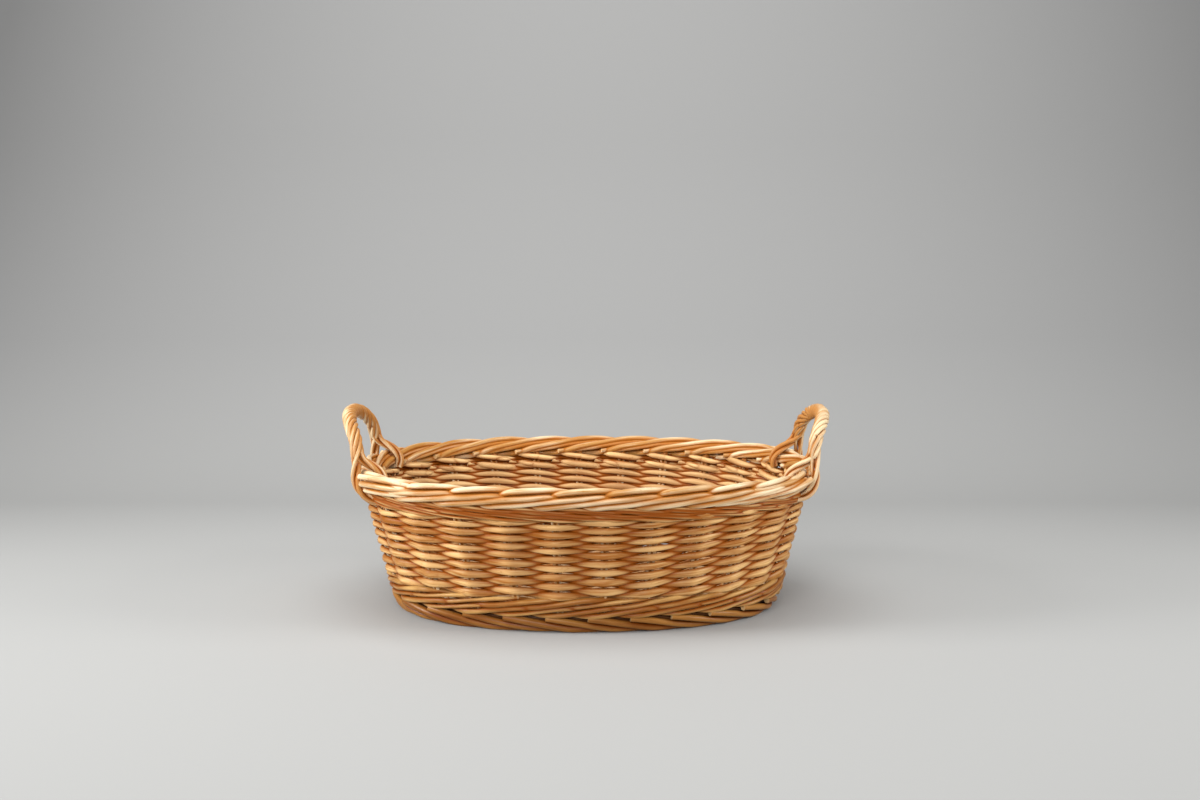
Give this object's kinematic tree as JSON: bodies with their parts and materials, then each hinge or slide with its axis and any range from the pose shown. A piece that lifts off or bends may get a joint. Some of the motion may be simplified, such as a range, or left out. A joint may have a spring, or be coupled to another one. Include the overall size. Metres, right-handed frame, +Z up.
{
  "type": "woven basket",
  "caption": "Oval woven willow basket with flared open-topped sides, plaited border, thick foot rods and a rope-twisted bow handle at each end.",
  "frame": {"origin": "middle of the footprint, on the plane the foot stands on", "axes": "+X along the length towards one handle, +Y across to the back, +Z up"},
  "size_m": [0.4862, 0.3516, 0.2016],
  "materials": {
    "stake_willow": "varnished, semi-gloss",
    "weaver_willow": "varnished, semi-gloss",
    "wale_willow": "varnished, semi-gloss",
    "foot_willow": "varnished, semi-gloss",
    "base_willow": "varnished, semi-gloss",
    "handle_willow": "varnished, semi-gloss"
  },
  "bodies": {
    "root": {"stake_01": "stake_willow", "stake_02": "stake_willow", "stake_03": "stake_willow", "stake_04": "stake_willow", "stake_05": "stake_willow", "stake_06": "stake_willow", "stake_07": "stake_willow", "stake_08": "stake_willow", "stake_09": "stake_willow", "stake_10": "stake_willow", "stake_11": "stake_willow", "stake_12": "stake_willow", "stake_13": "stake_willow", "stake_14": "stake_willow", "stake_15": "stake_willow", "stake_16": "stake_willow", "stake_17": "stake_willow", "stake_18": "stake_willow", "stake_19": "stake_willow", "stake_20": "stake_willow", "stake_21": "stake_willow", "stake_22": "stake_willow", "stake_23": "stake_willow", "stake_24": "stake_willow", "stake_25": "stake_willow", "stake_26": "stake_willow", "weaver_01": "weaver_willow", "weaver_02": "weaver_willow", "weaver_03": "weaver_willow", "weaver_04": "weaver_willow", "weaver_05": "weaver_willow", "weaver_06": "weaver_willow", "weaver_07": "weaver_willow", "weaver_08": "weaver_willow", "weaver_09": "weaver_willow", "weaver_10": "weaver_willow", "weaver_11": "weaver_willow", "weaver_12": "weaver_willow", "weaver_13": "weaver_willow", "weaver_14": "weaver_willow", "weaver_15": "weaver_willow", "weaver_16": "weaver_willow", "weaver_17": "weaver_willow", "weaver_18": "weaver_willow", "weaver_19": "weaver_willow", "weaver_20": "weaver_willow", "weaver_21": "weaver_willow", "weaver_22": "weaver_willow", "weaver_23": "weaver_willow", "weaver_24": "weaver_willow", "weaver_25": "weaver_willow", "weaver_26": "weaver_willow", "foot_border": "foot_willow", "bottom_wale": "wale_willow", "top_wale": "wale_willow", "base_sticks": "base_willow", "base_weaving": "base_willow", "right_handle": "handle_willow", "left_handle": "handle_willow"}
  },
  "joints": []
}
